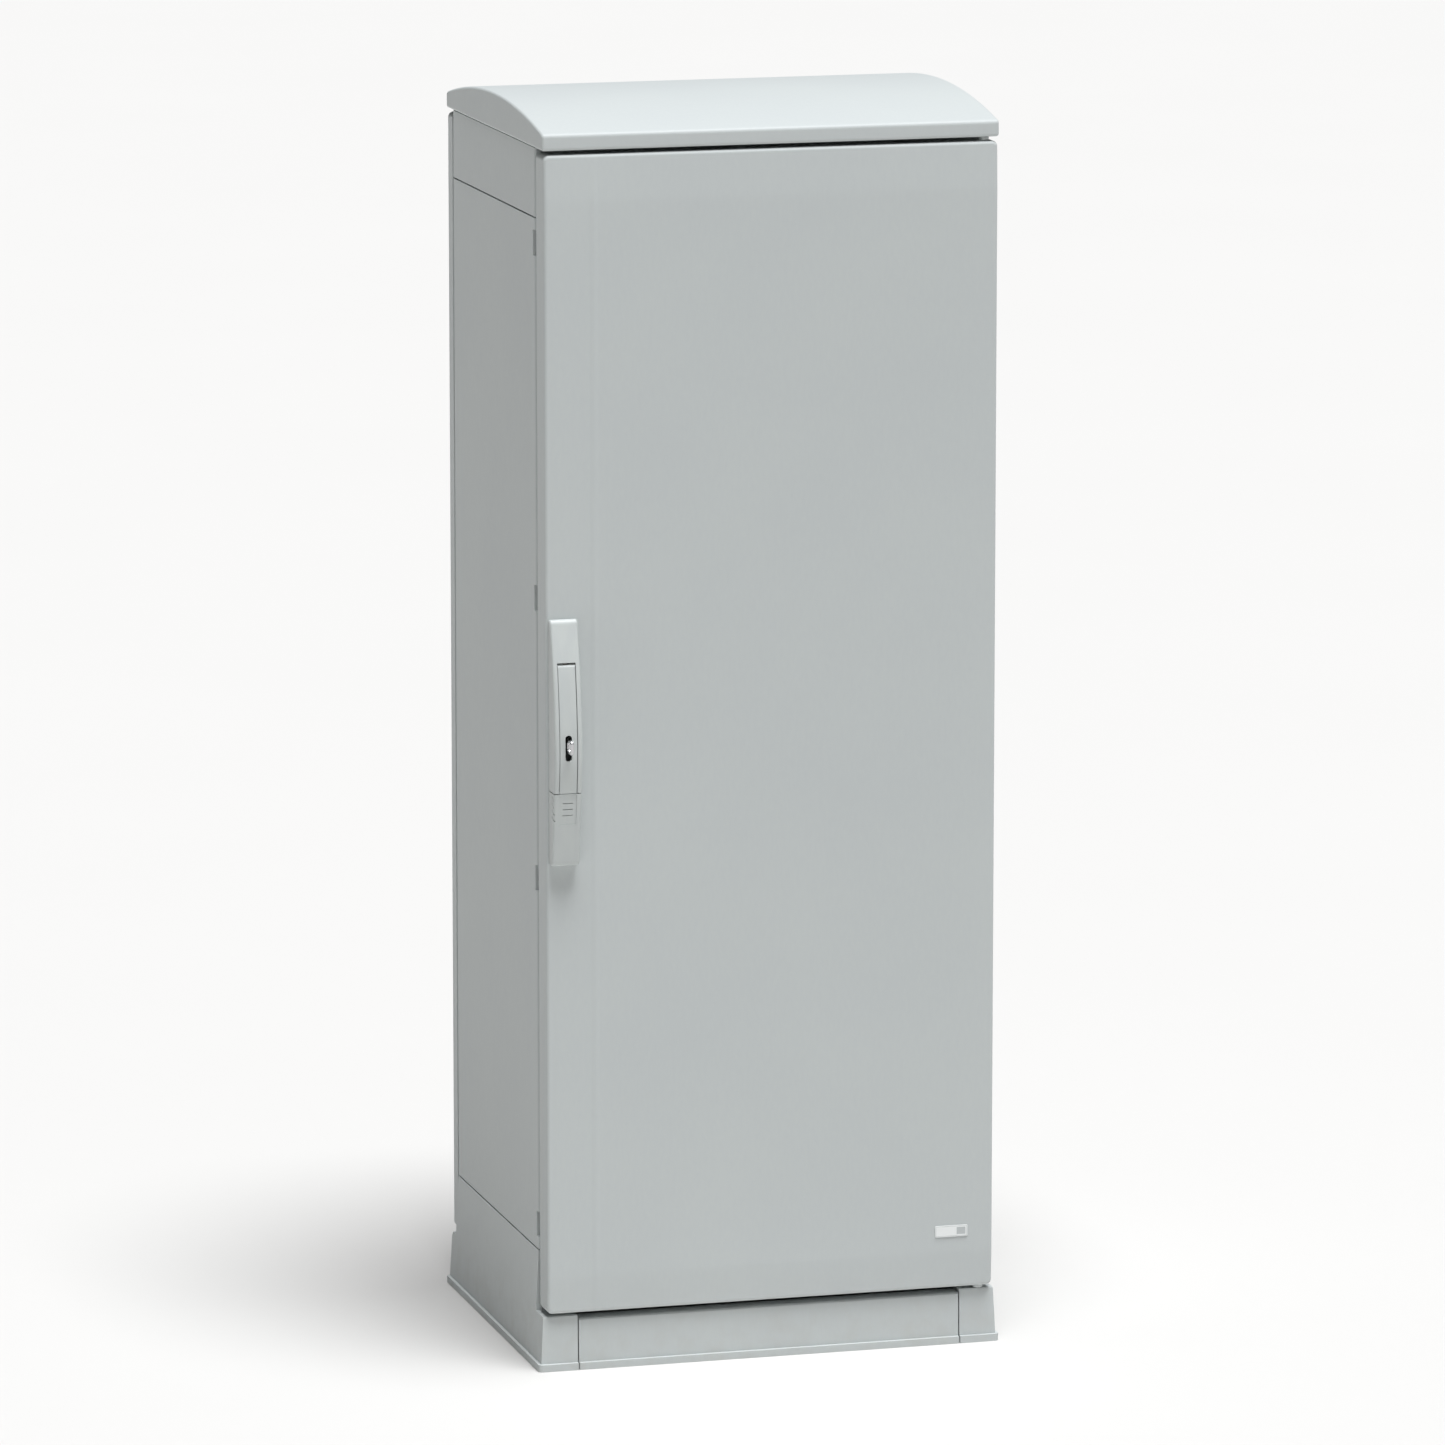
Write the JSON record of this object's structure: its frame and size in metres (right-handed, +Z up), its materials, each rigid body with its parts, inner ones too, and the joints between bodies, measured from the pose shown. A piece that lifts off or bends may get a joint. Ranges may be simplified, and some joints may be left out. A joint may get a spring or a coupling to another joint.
{
  "type": "outdoor service enclosure",
  "caption": "Free-standing outdoor service enclosure with one hinged door, a bowed fold-out lever that drives two lock rods, an arched rain canopy and a plinth.",
  "frame": {"origin": "bottom centre of the overall box, on the floor under the cabinet, with the door shut", "axes": "+X from the handle side to the hinge side, +Y from the door to the back, +Z up"},
  "size_m": [0.5188, 0.4676, 1.3622],
  "materials": {
    "polyester": "semi-matt moulded glass-reinforced polyester, light grey",
    "polyester_inner": "the same moulding's inner side, matt",
    "handle_grey": "satin grey injection-moulded handle plastic",
    "zinc_steel": "zinc-plated steel and die-cast zinc",
    "galvanised": "galvanised sheet steel",
    "chrome": "bright chrome plate",
    "rubber": "foamed sealing rubber",
    "label_white": "blank printed foil",
    "brass": "plain brass"
  },
  "bodies": {
    "cabinet": {"plinth_side_left": "polyester", "plinth_side_right": "polyester", "plinth_front_cover": "polyester", "plinth_rear_cover": "polyester", "side_panel_left": "polyester", "side_panel_right": "polyester", "top_frame": "polyester", "canopy": "polyester", "rear_panel": "polyester", "base_frame": "polyester_inner", "hinge_cap_top": "handle_grey", "hinge_cap_bottom": "handle_grey", "hinge_rod": "zinc_steel", "plate_stud_1": "zinc_steel", "plate_stud_2": "zinc_steel", "plate_stud_3": "zinc_steel", "plate_stud_4": "zinc_steel", "keeper_1": "zinc_steel", "keeper_2": "zinc_steel", "keeper_3": "zinc_steel", "keeper_4": "zinc_steel", "hinge_arm_1": "zinc_steel", "hinge_arm_2": "zinc_steel", "hinge_arm_3": "zinc_steel", "hinge_arm_4": "zinc_steel", "gland_plate": "galvanised", "upright_left": "galvanised", "upright_right": "galvanised", "mounting_plate": "galvanised", "rear_gasket": "rubber", "earth_stud": "brass"},
    "door": {"door_shell": "polyester", "door_gasket": "rubber", "door_label": "label_white", "handle_housing": "handle_grey", "padlock_staple": "chrome", "lever_pin": "zinc_steel", "handle_screw_top": "zinc_steel", "handle_screw_bottom": "zinc_steel", "gearbox_case": "galvanised", "pinion_axle": "zinc_steel", "hinge_leaf_1": "zinc_steel", "hinge_leaf_2": "zinc_steel", "hinge_leaf_3": "zinc_steel", "hinge_leaf_4": "zinc_steel", "rod_guide_1": "galvanised", "rod_guide_2": "galvanised", "rod_guide_3": "galvanised", "rod_guide_4": "galvanised"},
    "lever": {"lever": "handle_grey", "lever_sector": "zinc_steel"},
    "upper_rod": {"upper_rod": "zinc_steel", "locking_stud_1": "zinc_steel", "locking_stud_2": "zinc_steel"},
    "lower_rod": {"lower_rod": "zinc_steel", "locking_stud_3": "zinc_steel", "locking_stud_4": "zinc_steel"},
    "reversing_pinion": {"reversing_pinion": "zinc_steel"}
  },
  "joints": [
    {"name": "door_swing", "type": "hinge", "parent": "cabinet", "child": "door", "pos_m": [0.237, -0.17825, 0.691], "axis": [0, 0, 1], "range_deg": [0, 120]},
    {"name": "lever_fold", "type": "hinge", "parent": "door", "child": "lever", "pos_m": [-0.232, -0.20125, 0.768], "axis": [-1, 0, 0], "range_deg": [0, 90]},
    {"name": "upper_rod_slide", "type": "slide", "parent": "door", "child": "upper_rod", "axis": [0, 0, 1], "range_m": [-0.0295, 0]},
    {"name": "lower_rod_slide", "type": "slide", "parent": "door", "child": "lower_rod", "axis": [0, 0, 1], "range_m": [0, 0.0295]},
    {"name": "pinion_spin", "type": "hinge", "parent": "door", "child": "reversing_pinion", "pos_m": [-0.232, -0.17238, 0.722], "axis": [1, 0, 0], "range_deg": [0, 271]}
  ],
  "couplings": [
    {"joint": "upper_rod_slide", "follows": "lever_fold", "m_per_rad": -0.01875},
    {"joint": "lower_rod_slide", "follows": "lever_fold", "m_per_rad": 0.01875},
    {"joint": "pinion_spin", "follows": "lever_fold", "ratio": 3}
  ]
}
